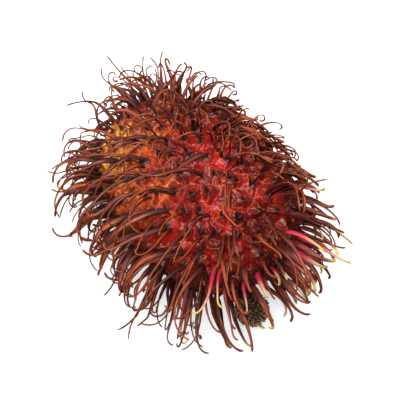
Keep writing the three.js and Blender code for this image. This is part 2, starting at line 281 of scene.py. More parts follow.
def new_material(name):
    """A new material, and the function that adds its nodes."""
    material = bpy.data.materials.new(name)
    material.use_nodes = True
    tree = material.node_tree
    tree.nodes.clear()

    def add_node(kind, settings, inputs):
        """Adds a node. An input takes a value, an sRGB colour as text, or the first output of a node."""
        node = tree.nodes.new("ShaderNode" + kind)
        for name, value in settings.items():
            setattr(node, name, value)
        for key, value in inputs.items():
            if isinstance(key, int):
                socket = node.inputs[key]
            else:
                socket = next(s for s in node.inputs if s.enabled and s.name == key)
            if isinstance(value, bpy.types.Node):
                value = next(s for s in value.outputs if s.enabled)
            if isinstance(value, bpy.types.NodeSocket):
                tree.links.new(value, socket)
            else:
                socket.default_value = linear(value) if isinstance(value, str) else value
        return node

    return material, add_node


SMOOTH = {"interpolation_type": "SMOOTHSTEP"}
COLOURS = {"data_type": "RGBA"}


def waxy_rind():
    """Living fruit skin: a thin clear wax over soft crimson flesh that light goes a millimetre into. The
    eye sees small sharp glints on a saturated body, orange in the thin grooves, and on each tubercle a top
    of dead, nearly black tissue with faded skin round it."""
    material, add_node = new_material("waxy_rind")
    position = add_node("TexCoord", {}, {}).outputs["Object"]
    blotch, mottle, grain = (
        add_node("TexNoise", {}, {"Vector": position, "Scale": 1 / (size * MM), "Detail": detail})
        for size, detail in ((4.5, 3.0), (1.4, 4.0), (0.45, 3.0))
    )
    names = ("border", "net", "crown", "halo", "flank", "tone", "orange", "ochre", "dried")
    measures = {name: add_node("Attribute", {"attribute_name": name}, {}) for name in names}

    deep = add_node("MapRange", SMOOTH, {"Value": blotch, "From Min": 0.48, "From Max": 0.64, "To Max": 0.8})
    rosy = add_node("MapRange", SMOOTH, {"Value": mottle, "From Min": 0.52, "From Max": 0.7, "To Max": 0.7})
    milky = add_node("Math", {"operation": "MULTIPLY"}, {0: rosy, 1: measures["net"]})
    # brown-red over the flanks away from the sunny side: partly drying, partly painted shade under the
    # spinterns
    dried = add_node("Math", {"operation": "MULTIPLY"}, {0: measures["dried"], 1: 0.75})

    # the orange and ochre area, in patches and above all between the tubercles
    patchy = add_node("MapRange", SMOOTH, {
        "Value": mottle, "From Min": 0.4, "From Max": 0.56, "To Min": 0.15,
    })
    between = add_node("MapRange", {}, {"Value": measures["border"], "To Min": 0.55, "To Max": 1.0})
    orange = add_node("Math", {"operation": "MULTIPLY"}, {0: measures["orange"], 1: between})
    orange = add_node("Math", {"operation": "MULTIPLY"}, {0: orange, 1: patchy})
    ochre = add_node("Math", {"operation": "MULTIPLY"}, {0: measures["ochre"], 1: patchy})

    # thin lines where the noise crosses its middle value
    veins = add_node("TexNoise", {}, {
        "Vector": position, "Scale": 1 / (2.0 * MM), "Detail": 1.0, "Distortion": 0.3,
    })
    off_vein = add_node("Math", {"operation": "SUBTRACT"}, {0: veins, 1: 0.5})
    off_vein = add_node("Math", {"operation": "ABSOLUTE"}, {0: off_vein})
    vein = add_node("MapRange", SMOOTH, {
        "Value": off_vein, "From Min": 0.035, "From Max": 0.006, "To Max": 0.65,
    })

    # round and on the tubercles' tops, with ragged edges
    faded = add_node("Math", {"operation": "MULTIPLY_ADD"}, {0: mottle, 1: 1.6, 2: measures["halo"]})
    faded = add_node("MapRange", SMOOTH, {"Value": faded, "From Min": 1.1, "From Max": 1.85, "To Max": 0.7})
    scuffed = add_node("MapRange", SMOOTH, {
        "Value": grain, "From Min": 0.55, "From Max": 0.72, "To Max": 0.1,
    })
    pale = add_node("Math", {"operation": "MULTIPLY"}, {0: scuffed, 1: measures["flank"]})
    frayed = add_node("Math", {"operation": "MULTIPLY_ADD"}, {0: grain, 1: 0.9, 2: measures["crown"]})
    dead = add_node("MapRange", SMOOTH, {
        "Value": frayed, "From Min": 0.55, "From Max": 1.25, "To Max": 0.95,
    })

    skin = add_node("Mix", COLOURS, {"Factor": measures["tone"], "A": "6c0a09", "B": "b61a15"})
    layers = (  # of colour, each over those before it
        (deep, "4a0b0a"), (rosy, "b4221d"), (milky, "ba3831"), (dried, "40150f"), (orange, "ff7c38"),
        (ochre, "f5ae48"), (vein, "e0602a"), (faded, "581f1e"), (pale, "e38d84"), (dead, "2e120e"),
    )
    for cover, colour in layers:
        skin = add_node("Mix", COLOURS, {"Factor": cover, "A": skin, "B": colour})

    relief = add_node("Math", {"operation": "MULTIPLY_ADD"}, {0: grain, 1: 0.45, 2: mottle})
    relief = add_node("Math", {"operation": "MULTIPLY_ADD"}, {0: vein, 1: 0.4, 2: relief})
    bump = add_node("Bump", {}, {"Strength": 1.0, "Distance": 0.6 * MM, "Height": relief})
    rough = add_node("MapRange", {}, {"Value": dead, "To Min": 0.36, "To Max": 0.75})
    wax = add_node("BsdfPrincipled", {}, {
        "Base Color": skin, "Roughness": rough, "Normal": bump, "IOR": 1.45,
        "Subsurface Weight": 0.15, "Subsurface Radius": (1.0, 0.2, 0.1), "Subsurface Scale": 0.8 * MM,
        "Coat Weight": 0.45, "Coat Roughness": 0.05, "Specular IOR Level": 0.15,
        "Specular Tint": (1.0, 0.6, 0.5, 1.0),
    })
    add_node("OutputMaterial", {}, {"Surface": wax})
    return material


rind = make_rind()
rind.data.materials.append(waxy_rind())
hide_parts("spiny_rind")
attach(rind, "root")

# ----------------------------------------
# The spinterns. Soft outgrowths of the rind, one to a tubercle and grown fast in it: a cupped ribbon that
# tapers to a curling thread. They dried to red-brown and mauve after picking, and some by the stem end are
# still crimson with yellow-green tips.
# ----------------------------------------
SPINTERN_LENGTH, SPINTERN_LENGTH_SPREAD = 13.0, 3.0
ROOT_HALF_WIDTH, ROOT_HALF_WIDTH_SPREAD = 0.58, 0.1
THREAD_HALF_WIDTH = 0.22  # of its solid tip
NARROWING_POWER = 0.7  # 1 is an even taper, and less narrows later
STEPS = 24  # that a solid spintern's path is worked out in
RING_STEPS = [0, 7, 14, 20]  # the steps where it has a ring of corners, short of its tip
COMB = 0.5  # how far they lean away from the fruit's middle, towards its two ends
SWAY, WORN_SWAY = 0.42, 3.2  # how far one may lean off its way, and how many times as far on the worn side
DROOP, CURL = 1.5, 2.6  # radians over the length
SAG_WAY = unit(np.array([0.35, -0.3, -0.89]))  # down, and a little to the camera's side
RIND_CLEARANCE, CLEARANCE = 1.1, 0.35  # over the tubercles, and to each other, the knob and the table
BEADS = 20  # places along each where its room is measured
ATTEMPTS = 14  # at a free place for each
WORN_SIDE = fruit_side(0.52, -0.27, 0.81, 0.76, 0.97)  # where many have broken off
BARE_SIDE = fruit_side(-0.68, -0.45, 0.57, 0.93, 0.97)  # a small place by the apex where most have
WORN_SHARE, BARE_SHARE = 0.45, 0.9  # that has broken off there
BRUSHED_SIDE = fruit_side(0.17, -0.7, 0.69, 0.6, 0.9)  # where they lie over towards the apex
BRUSH_WAY, BRUSHED_LEAN = unit(np.array([-0.7, -0.7, -0.15])), 1.2
PRESSED_SIDE = fruit_side(-0.05, 0.86, 0.51, 0.55, 0.9)  # where they are matted towards the stem end
PRESSED_LEAN = 1.6
STEM_END = fruit_side(1, 0, 0, 0.1, 0.7)
TUFT_SIDE = fruit_side(-0.7, 0.33, 0.63, 0.88, 0.98)
STIFF_SHARE = 0.7  # of the droop, which those by the stem end and in the tuft are spared
SHORT_SIDES = [  # and the share of their length that they lack there
    (PRESSED_SIDE, 0.4),
    (fruit_side(-0.1, -0.85, -0.35, 0.55, 0.9), 0.18),
    (fruit_side(0.8, 0.58, -0.15, 0.55, 0.9), 0.3),
    (fruit_side(0.96, -0.22, 0.1, 0.93, 0.98), 0.45),
]
FINE_STEPS = 48  # that a ribbon's path is worked out in
STATIONS = 18  # rings of corners along a ribbon
BEND_WEIGHT = 0.16  # of a radian of bend beside the whole length, where the rings are shared out
ROOT_SINK = 0.7  # how deep the root goes into its tubercle
THREAD_SHARE = (0.9, 1.2)  # length with the drying thread at the tip, over the solid spintern's
SNAPPED_SIDE = fruit_side(-0.85, -0.1, 0.51, 0.7, 0.9)  # where some of that thread has broken off
SNAPPED_SHARE = 0.22
CURLY_SIDE = fruit_side(-0.72, 0.35, 0.6, -0.5, 0.7)  # which has dried the most
STEM_SIDE = fruit_side(0.8, 0.35, -0.15, 0.35, 0.75)  # where they are broadest
LOW_SIDE = fruit_side(-0.1, -0.85, -0.2, 0.5, 0.85)  # where they are broad and tangled
LATE_SIDE = fruit_side(0.9, 0.05, -0.3, 0.45, 0.8)  # where some are still fresh
FRESH_SHARE, FADING_SHARE = 0.16, 0.36  # that is still crimson there, and that is or has only a living tip
LOW_TANGLE = 0.8  # how tangled the low side is, beside the curliest
LEAST_HOOK, HOOK = 0.5, 4.5  # radians that a thread hooks over at least, and what is added at most
HOOK_SHARES = (0.45, 1)  # of that on the tidiest and on the most tangled, and so are the next three
HOOK_STARTS = (0.8, 0.55)  # share of the length
WOBBLES = (1.0, 5.0)  # radians
TWISTS = (1.2, 4.0)  # radians
TIP_SHARES = (0.32, 0.42)  # of the root's width, elsewhere and on the stem side
TAPER_EDGES = (0.1, 0.85)  # shares of the length between which a ribbon narrows
BREADTHS = (1.1, 1.4)  # over the solid spintern's, elsewhere and on the broad sides
BREADTH_LUCK = (0.6, 1.25)  # the narrowest and the widest that one comes out, over that
FINEST = 0.19  # half width that no thread is finer than
ROOT_NARROWING, TIP_NARROWING = 0.75, 0.6  # of the first and the last ring
RIBBON_WIDTH = 0.95  # over the rule's, which the threads have whole
RIBBON_THICKNESS = (0.28, 0.7)  # of its width, at the root and at the tip
CUP = 0.6  # how far a ribbon's edges curl up, of its half width


def tubercle_tops():
    return FEET + NORMALS * (TUBERCLE_HEIGHT * clear_of_knob(FEET))[:, None]


def lost_share(directions):
    """The share of the spinterns that have broken off."""
    return np.maximum(WORN_SHARE * within(directions, WORN_SIDE), BARE_SHARE * within(directions, BARE_SIDE))


def keep_clear(points, share, half_widths):
    """Moves points of spinterns out of the tubercles and the knob and above the table."""
    rise = TUBERCLE_HEIGHT + RIND_CLEARANCE * min(1, 3 * share)  # in full a third of the way on
    lowest_level = 1 + rise / HALF_SIZES[1]
    room = KNOB_RADIUS + CLEARANCE + half_widths
    for _ in range(3):
        outward = np.maximum(1, lowest_level / level(points))
        points = (points - CENTRE) * outward[:, None] + CENTRE
        from_knob = points - KNOB_CENTRE
        reach = lengths(from_knob)
        near = reach < room
        points[near] = KNOB_CENTRE + from_knob[near] * (room / reach)[near, None]
        points[:, 2] = np.maximum(points[:, 2], CLEARANCE + half_widths)
    return points


def spintern_habits(i, attempt):
    """Where the spinterns of tubercles i start, and their shape, as drawn at each attempt."""
    directions, normals, to_stem, aside = DIRECTIONS[i], NORMALS[i], STEMWARD[i], SIDEWAYS[i]
    draw = draws_from(1 + i * ATTEMPTS + attempt)
    sway = SWAY * mixed(1, WORN_SWAY, within(directions, WORN_SIDE)) * np.sqrt(draw())
    spread = SPINTERN_LENGTH_SPREAD
    shortening = sum(share * within(directions, side) for side, share in SHORT_SIDES)
    stiff = np.maximum(within(directions, STEM_END), within(directions, TUFT_SIDE))
    length = mixed(SPINTERN_LENGTH - spread, SPINTERN_LENGTH + spread, draw()) * (1 - shortening)
    root_half_width = ROOT_HALF_WIDTH + ROOT_HALF_WIDTH_SPREAD * (2 * draw() - 1)
    sway_angle = 2 * math.pi * draw()
    pressed = PRESSED_LEAN * within(directions, PRESSED_SIDE)
    lean = COMB * directions[:, 0] + pressed + sway * np.cos(sway_angle)
    brushed = BRUSHED_LEAN * within(directions, BRUSHED_SIDE)
    heading = normals + to_stem * lean[:, None] + aside * (sway * np.sin(sway_angle))[:, None]
    heading = unit(heading + BRUSH_WAY * brushed[:, None])
    curl_angle = 2 * math.pi * draw()
    curl_side = to_stem * np.cos(curl_angle)[:, None] + aside * np.sin(curl_angle)[:, None]
    curl = curl_side * (CURL * draw())[:, None]
    peak = (1 - PAD_SHARE) * within(directions, RIPE_SIDE) * clear_of_knob(FEET[i])
    root_shift = (to_stem * RIPE_LEAN + normals * RIPE_RISE * TUBERCLE_HEIGHT) * peak[:, None]
    return {
        "start": tubercle_tops()[i], "root_shift": root_shift, "normal": normals, "aside": aside,
        "length": length, "root_half_width": root_half_width, "heading": heading, "curl": curl,
        "droop": DROOP * (1 - STIFF_SHARE * stiff), "hook_share": 1.0,
    }


def half_widths_at(habits, share):
    return mixed(THREAD_HALF_WIDTH, habits["root_half_width"], (1 - share) ** NARROWING_POWER)


def bent_step(last, heading, habits, share, reach):
    """The next point of each spintern and its heading there, a reach on, at a share of its solid length."""
    heading = unit(heading + SAG_WAY * (habits["droop"] * reach / habits["length"])[:, None])
    point = last + heading * reach[:, None]
    point = keep_clear(point, share, half_widths_at(habits, min(1, share)))
    return point, unit(point - last)


def solid_paths(habits):
    """The points of each solid spintern from root to tip."""
    points, heading = [habits["start"]], habits["heading"]
    for step in range(1, STEPS + 1):
        share = step / STEPS
        heading = heading + habits["curl"] * (2 * share * share / STEPS)
        point, heading = bent_step(points[-1], heading, habits, share, habits["length"] / STEPS)
        points.append(point)
    return np.stack(points, axis=1)


def beads_along(paths, half_widths):
    """Balls along the solid spinterns' straight runs, to keep them clear of each other."""
    stops = [*RING_STEPS, STEPS]
    centres, radii = [], []
    for b in range(1, BEADS + 1):
        place = b / BEADS * STEPS
        run = next(k for k, stop in enumerate(stops) if stop >= place)
        start, end = stops[run - 1], stops[run]
        share = (place - start) / (end - start)
        centres.append(mixed(paths[:, start], paths[:, end], share))
        radii.append(mixed(half_widths[:, start], half_widths[:, end], share))
    return np.stack(centres, axis=1), np.stack(radii, axis=1)


def place_spinterns():
    """For each tubercle that bears a spintern, the first attempt that is clear of those before it."""
    i, attempt = (grid.ravel() for grid in np.mgrid[0:TUBERCLES, 0:ATTEMPTS])
    habits = spintern_habits(i, attempt)
    half_widths = np.stack([half_widths_at(habits, k / STEPS) for k in range(STEPS + 1)], axis=1)
    centres, radii = beads_along(solid_paths(habits), half_widths)
    middles = centres[:, BEADS // 2]
    near_reach = 2 * SPINTERN_LENGTH
    by_knob = lengths(FEET - KNOB_FOOT) < KNOB_RADIUS + 1
    under = tubercle_tops()[:, 2] < 1
    kept = draws_from(TUBERCLES + np.arange(TUBERCLES) + 1)() >= lost_share(DIRECTIONS)
    chosen = []
    for tubercle in np.nonzero(~by_knob & ~under & kept)[0]:
        for row in range(tubercle * ATTEMPTS, (tubercle + 1) * ATTEMPTS):
            near = [k for k in chosen if lengths(middles[k] - middles[row]) < near_reach]
            apart = centres[row][:, None, None] - centres[near][None]
            gaps = lengths(apart) - radii[row][:, None, None] - radii[near][None]
            if not near or gaps.min() > CLEARANCE:
                chosen.append(row)
                break
    chosen = np.array(chosen)
    return chosen // ATTEMPTS, chosen % ATTEMPTS


def turned(vectors, axes, angles):
    """Vectors turned about unit axes."""
    cosines, sines = np.cos(angles)[:, None], np.sin(angles)[:, None]
    along = (vectors * axes).sum(1, keepdims=True)
    return vectors * cosines + np.cross(axes, vectors) * sines + axes * along * (1 - cosines)


def dried_paths(habits, length_shares, hooks, hook_starts, wobbles):
    """Finer paths with the threads that the solid spinterns stop short of, which hook over as they dry."""
    points, heading = [habits["start"]], habits["heading"]
    axes = unit(np.cross(heading, habits["curl"]) + 0.3 * habits["aside"])
    reach = habits["length"] * length_shares / FINE_STEPS
    for step in range(1, FINE_STEPS + 1):
        place = step / FINE_STEPS
        shares = place * length_shares
        curling = 2 * np.minimum(shares, 1) ** 2 * length_shares / FINE_STEPS
        wobbling = np.sin(8 * place + 9 * wobbles) * wobbles / FINE_STEPS
        heading = heading + habits["curl"] * curling[:, None] + habits["aside"] * wobbling[:, None]
        hooking = 2 * np.maximum(0, place - hook_starts) / (1 - hook_starts) ** 2 / FINE_STEPS
        heading = turned(unit(heading), axes, hooks * hooking)
        point, heading = bent_step(points[-1], heading, habits, place, reach)
        points.append(point)
    return np.stack(points, axis=1)


def shares_along(paths):
    """The share of its length at each point of each path."""
    runs = lengths(np.diff(paths, axis=1))
    travelled = np.concatenate([np.zeros((len(paths), 1)), np.cumsum(runs, axis=1)], axis=1)
    return travelled / travelled[:, -1:]


def respaced(paths, stations):
    """Picks points along each path, closer together where it bends."""
    headings = unit(np.diff(paths, axis=1))
    bends = np.arccos(np.clip((headings[:, 1:] * headings[:, :-1]).sum(2), -1, 1))
    bent = np.concatenate([np.zeros((len(paths), 2)), np.cumsum(bends, axis=1)], axis=1)
    places = shares_along(paths) + BEND_WEIGHT * bent
    picked = np.linspace(0, 1, stations)
    return np.stack([
        np.stack([np.interp(picked * place[-1], place, path[:, k]) for k in range(3)], axis=1)
        for path, place in zip(paths, places)
    ])


def make_straight_ribbon(corners, stations):
    """A straight round rod with a ring of corners at each whole height. Ribbons are bent copies of it."""
    bpy.ops.object.select_all(action="DESELECT")
    bpy.ops.mesh.primitive_circle_add(vertices=corners, radius=1, fill_type="NGON")
    rod = bpy.context.object
    bpy.ops.object.mode_set(mode="EDIT")
    bpy.ops.mesh.select_all(action="SELECT")
    for _ in range(stations - 1):
        bpy.ops.mesh.extrude_region_move(TRANSFORM_OT_translate={"value": (0, 0, 1)})
    bpy.ops.mesh.select_all(action="SELECT")
    bpy.ops.mesh.normals_make_consistent(inside=False)
    bpy.ops.object.mode_set(mode="OBJECT")
    corners_at = np.array([v.co for v in rod.data.vertices])
    faces = [list(face.vertices) for face in rod.data.polygons]
    bpy.data.meshes.remove(rod.data)
    return corners_at, faces


def make_ribbons(name, pattern, paths, half_widths, across, twists, thickness, cup):
    """Copies of a straight rod bent along paths, as one piece. Each is wide across its path, and twists."""
    corners_at, pattern_faces = pattern
    station = np.rint(corners_at[:, 2]).astype(int)
    wide_share = corners_at[:, 0]
    thicknesses = mixed(thickness[0], thickness[1], station / station.max())
    high_share = thicknesses * corners_at[:, 1] + cup * (wide_share**2 - 0.5)
    count, stations = paths.shape[:2]
    tangents = unit(np.gradient(paths, axis=1))
    wide, high = np.empty_like(paths), np.empty_like(paths)
    side = across
    for k in range(stations):
        side = unit(side - tangents[:, k] * (side * tangents[:, k]).sum(1, keepdims=True))
        wide[:, k] = turned(side, tangents[:, k], twists * k / (stations - 1))
        high[:, k] = np.cross(tangents[:, k], wide[:, k])
    flat = wide[:, station] * wide_share[:, None] + high[:, station] * high_share[:, None]
    corners = paths[:, station] + flat * half_widths[:, station][..., None]
    corners[..., 2] = np.maximum(corners[..., 2], 0)  # none goes under the table
    faces = [[v + copy * len(corners_at) for v in face] for copy in range(count) for face in pattern_faces]
    mesh = bpy.data.meshes.new(name)
    mesh.from_pydata((corners.reshape(-1, 3) * MM).tolist(), [], faces)
    piece = bpy.data.objects.new(name, mesh)
    bpy.context.collection.objects.link(piece)
    set_measure(piece, "along", shares_along(paths)[:, station].ravel())
    set_measure(piece, "across", np.tile(wide_share, count))
    bpy.ops.object.select_all(action="DESELECT")
    piece.select_set(True)
    bpy.context.view_layer.objects.active = piece
    bpy.ops.object.shade_smooth()
    return piece


def with_sunk_roots(paths, half_widths, normals):
    """Starts each path a little inside its tubercle, so that no root stands off it."""
    sunk = paths[:, :1] - normals[:, None] * ROOT_SINK
    return np.concatenate([sunk, paths], axis=1), np.concatenate([half_widths[:, :1], half_widths], axis=1)


def make_spinterns(name, habits, seeds, pattern, width_share):
    """Ribbons with these habits and a drying thread at each tip, and the measures their material reads."""
    draw = draws_from(seeds)
    directions = unit(habits["start"] - CENTRE)
    length_shares = mixed(*THREAD_SHARE, draw()) * (1 - SNAPPED_SHARE * within(directions, SNAPPED_SIDE))
    by_stem = within(directions, STEM_SIDE)
    low = within(directions, LOW_SIDE)
    tangle = np.maximum(within(directions, CURLY_SIDE), LOW_TANGLE * low)
    hooks = habits["hook_share"] * mixed(*HOOK_SHARES, tangle) * (LEAST_HOOK + HOOK * draw() ** 2)
    wobbles = mixed(*WOBBLES, tangle) * draw()
    paths = dried_paths(habits, length_shares, hooks, mixed(*HOOK_STARTS, tangle), wobbles)
    paths = respaced(paths, STATIONS)
    paths = paths + habits["root_shift"][:, None] * (1 - shares_along(paths))[..., None] ** 3
    tip_shares = mixed(*TIP_SHARES, by_stem)[:, None]
    taper = mixed(1.0, tip_shares, smoothstep(shares_along(paths), *TAPER_EDGES))
    breadths = mixed(*BREADTHS, np.maximum(by_stem, low)) * mixed(*BREADTH_LUCK, draw())
    widths = habits["root_half_width"] * width_share * breadths
    half_widths = np.maximum(widths[:, None] * taper, FINEST)
    half_widths[:, 0] *= ROOT_NARROWING
    half_widths[:, -1] *= TIP_NARROWING
    paths, half_widths = with_sunk_roots(paths, half_widths, habits["normal"])
    across = unit(np.cross(paths[:, -1] - paths[:, 1], habits["normal"]) + 0.2 * habits["aside"])
    twists = (draw() - 0.5) * mixed(*TWISTS, tangle)
    piece = make_ribbons(name, pattern, paths, half_widths, across, twists, RIBBON_THICKNESS, CUP)
    set_measure(piece, "tone", draw())
    fate = draw()
    late = within(directions, LATE_SIDE)
    fresh = 0.5 * (fate < FRESH_SHARE * late) + 0.5 * (fate < FADING_SHARE * late)
    set_measure(piece, "fresh", fresh)
    set_measure(piece, "ripe", by_stem * draw())
    return piece


def dried_spintern():
    """Dried plant fibre: soft outgrowth tissue that has lost its water. It is dark red-brown or mauve, with
    a satin shine, paler ridges lengthwise that are painted highlight, rims darkened as painted shade,
    roots nearly black from dead tissue and painted shade, and orange-brown ends. The few that are fresh
    are crimson, pale towards the tip and yellow-green at it."""
    material, add_node = new_material("dried_spintern")
    along, across, tone, fresh, ripe = (
        add_node("Attribute", {"attribute_name": name}, {})
        for name in ("along", "across", "tone", "fresh", "ripe")
    )
    place = add_node("CombineXYZ", {}, {"X": across, "Y": along, "Z": tone})
    place = add_node("VectorMath", {"operation": "MULTIPLY"}, {0: place, 1: (3.0, 3.0, 90.0)})
    grooves = add_node("TexNoise", {}, {"Vector": place, "Scale": 1.6, "Detail": 3.0})

    toned = add_node("MapRange", SMOOTH, {"Value": tone})
    body = add_node("Mix", COLOURS, {"Factor": toned, "A": "200805", "B": "6c1f12"})
    mauve = add_node("Math", {"operation": "PINGPONG"}, {0: tone, 1: 0.22})
    off_middle = add_node("Math", {"operation": "ABSOLUTE"}, {0: across})
    layers = (  # what each follows, where it starts and is full, how far it covers then, and its colour
        (tone, 0.72, 0.95, 1.0, "a54a1c"),
        (mauve, 0.12, 0.2, 0.55, "543235"),
        # paler ridges lengthwise: a painted highlight along the ribbons
        (grooves, 0.48, 0.66, 0.8, "cc5f44"),
        (along, 0.4, 1.0, 0.8, "91421b"),
        # darker rims: painted shade at the edges of the cupped ribbons
        (off_middle, 0.55, 1.0, 0.75, "240f0b"),
    )
    for follows, starts, full, share, colour in layers:
        cover = add_node("MapRange", SMOOTH, {
            "Value": follows, "From Min": starts, "From Max": full, "To Max": share,
        })
        body = add_node("Mix", COLOURS, {"Factor": cover, "A": body, "B": colour})
    # nearly black roots: partly dead tissue, partly painted shade down among the spinterns by the rind
    dead = add_node("MapRange", SMOOTH, {"Value": along, "From Min": 0.42, "From Max": 0.08})
    body = add_node("Mix", COLOURS, {"Factor": dead, "A": body, "B": "1e0a08"})
    root = add_node("MapRange", SMOOTH, {"Value": along, "From Min": 0.32, "From Max": 0.1})
    ripe_root = add_node("Math", {"operation": "MULTIPLY"}, {0: root, 1: ripe})
    body = add_node("Mix", COLOURS, {"Factor": ripe_root, "A": body, "B": "a01a20"})

    fading = add_node("MapRange", SMOOTH, {"Value": along, "From Min": 0.35, "From Max": 0.8})
    living = add_node("Mix", COLOURS, {"Factor": fading, "A": "bd2742", "B": "e3a987"})
    greening = add_node("MapRange", SMOOTH, {"Value": along, "From Min": 0.75, "From Max": 0.93})
    living = add_node("Mix", COLOURS, {"Factor": greening, "A": living, "B": "d2b85e"})
    alive = add_node("Math", {"operation": "MULTIPLY_ADD"}, {0: fresh, 1: 2.0, 2: greening})
    alive = add_node("Math", {"operation": "SUBTRACT", "use_clamp": True}, {0: alive, 1: 1.0})
    colour = add_node("Mix", COLOURS, {"Factor": alive, "A": body, "B": living})

    rough = add_node("MapRange", {}, {"Value": dead, "To Min": 0.28, "To Max": 0.6})
    bump = add_node("Bump", {}, {"Strength": 0.6, "Distance": 0.15 * MM, "Height": grooves})
    fibre = add_node("BsdfPrincipled", {}, {
        "Base Color": colour, "Roughness": rough, "Normal": bump, "IOR": 1.45,
        "Specular IOR Level": 0.8, "Specular Tint": (1.0, 0.55, 0.45, 1.0),
    })
    add_node("OutputMaterial", {}, {"Surface": fibre})
    return material


bearing, attempts = place_spinterns()
habits = spintern_habits(bearing, attempts)
straight_ribbon = make_straight_ribbon(6, STATIONS + 1)
spinterns = make_spinterns("spinterns", habits, bearing + 7001, straight_ribbon, RIBBON_WIDTH)
spinterns.data.materials.append(dried_spintern())
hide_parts("spiny_rind")
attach(spinterns, "root")

# ----------------------------------------
# The thin threads. Lesser spinterns, hardly wider than a coarse hair, that grow out of the flanks of the
# tubercles. They dried first and are the curliest, but on the worn side they lie swept one way.
# ----------------------------------------
THREADS = 380
PLACES = 6 * THREADS  # that are drawn, of which the barer sides lose the most
THREAD_OFFSET, THREAD_RISE = 1.2, 0.35  # of its root from its tubercle's foot
THREAD_ROOT_HALF_WIDTHS = (0.4, 0.32)  # on the least and on the most dried
THREAD_LEAN = 0.7
SHORTEST_THREAD, LONGEST_THREAD = (0.55, 0.8), (1.0, 1.15)  # over a spintern, elsewhere and where worn
THREAD_HOOK_SHARES, THREAD_DROOPS = (1.3, 0.455), (1, 0.8)  # likewise
SWEPT_WAY = np.array([-1.9, -0.8, 0.6])  # where those of the worn side have been brushed to
KNOB_BERTH = 5  # round the knob, where none grow
UNDERSIDE = fruit_side(0, 0, -1, -0.1, 0.4)
LIT_SIDE = fruit_side(-0.68, -0.45, 0.57, 0.6, 0.9)  # all round the bare place, where the orange shows
MATTED_SIDE = fruit_side(-0.05, 0.86, 0.51, 0.5, 0.85)


def thread_share(directions):
    """The share of the places in each direction that bear a thread."""
    share = mixed(0.1, 1, within(directions, CURLY_SIDE) ** 2)
    share = np.maximum(share, 0.5 * within(directions, UNDERSIDE))
    share = np.maximum(share, 0.55 * within(directions, WORN_SIDE))
    return share * (1 - 0.7 * within(directions, LIT_SIDE)) * (1 - 0.75 * within(directions, MATTED_SIDE))


def thread_habits():
    draw = draws_from(np.arange(PLACES) + 20011)
    i = (draw() * TUBERCLES).astype(int)
    bare = draw() < lost_share(DIRECTIONS[i])
    bare |= lengths(FEET[i] - KNOB_FOOT) < KNOB_RADIUS + KNOB_BERTH
    bare |= (tubercle_tops()[i][:, 2] < 2) | (draw() > thread_share(DIRECTIONS[i]))
    chosen = np.nonzero(~bare)[0][:THREADS]
    i = i[chosen]
    draw = draws_from(chosen + 31013)
    habits = spintern_habits(i, (draw() * ATTEMPTS).astype(int))
    beside = STEMWARD[i] * (draw() - 0.5)[:, None] + SIDEWAYS[i] * (draw() - 0.5)[:, None]
    swept = within(DIRECTIONS[i], WORN_SIDE)
    length_share = mixed(mixed(*SHORTEST_THREAD, swept), mixed(*LONGEST_THREAD, swept), draw())
    habits["start"] = FEET[i] + unit(beside) * THREAD_OFFSET + NORMALS[i] * THREAD_RISE
    habits["heading"] = unit(habits["heading"] + THREAD_LEAN * beside + SWEPT_WAY * swept[:, None])
    habits["length"] = habits["length"] * length_share
    habits["droop"] = habits["droop"] * mixed(*THREAD_DROOPS, swept)
    habits["hook_share"] = mixed(*THREAD_HOOK_SHARES, swept)
    habits["root_half_width"] = mixed(*THREAD_ROOT_HALF_WIDTHS, within(DIRECTIONS[i], CURLY_SIDE))
    return habits


straight_thread = make_straight_ribbon(4, STATIONS + 1)
threads = make_spinterns("threads", thread_habits(), np.arange(THREADS) + 40009, straight_thread, 1.0)
threads.data.materials.append(spinterns.data.materials[0])
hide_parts("spiny_rind")
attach(threads, "root")

# ----------------------------------------
# The stubs. What is left of a spintern that has broken off: a short dead point, still fast in its tubercle.
# ----------------------------------------
STUB_LENGTH, STUB_LENGTH_SPREAD = 1.8, 1.0
STUB_HALF_WIDTH, STUB_SINK = 0.4, 0.3
STUB_LEAN = 0.2  # away from the stem end, at least
STUB_RINGS = np.array([0, 0.3, 0.65, 0.9, 1.0])  # shares of its length
STUB_TAPER = np.array([1.2, 0.9, 0.7, 0.5, 0.2])  # of its half width, at those rings
STUB_THICKNESS, STUB_CUP = (0.6, 0.6), 0.2


def make_stubs(whole):
    """A stub on each tubercle whose spintern isn't whole, bent away from the stem end."""
    bare = np.setdiff1d(np.arange(TUBERCLES), whole)
    bare = bare[(clear_of_knob(FEET[bare]) > 0.9) & (FEET[bare][:, 2] > 1)]
    normals, to_stem, aside = NORMALS[bare], STEMWARD[bare], SIDEWAYS[bare]
    draw = draws_from(bare + 50021)
    heading = unit(normals - to_stem * (STUB_LEAN + draw())[:, None] + aside * (draw() - 0.5)[:, None])
    length = STUB_LENGTH + STUB_LENGTH_SPREAD * (2 * draw() - 1)
    bow = to_stem * (draw() - 0.5)[:, None] + aside * (draw() - 0.5)[:, None]
    tops = tubercle_tops()[bare] - normals * STUB_SINK
    paths = np.stack([tops + heading * (length * s)[:, None] + bow * s * s for s in STUB_RINGS], axis=1)
    half_widths = STUB_HALF_WIDTH * (0.7 + 0.5 * draw())[:, None] * STUB_TAPER
    paths, half_widths = with_sunk_roots(paths, half_widths, normals)
    across = unit(np.cross(heading, bow))
    untwisted = np.zeros(len(bare))
    rod = make_straight_ribbon(7, len(STUB_RINGS) + 1)
    return make_ribbons("stubs", rod, paths, half_widths, across, untwisted, STUB_THICKNESS, STUB_CUP)


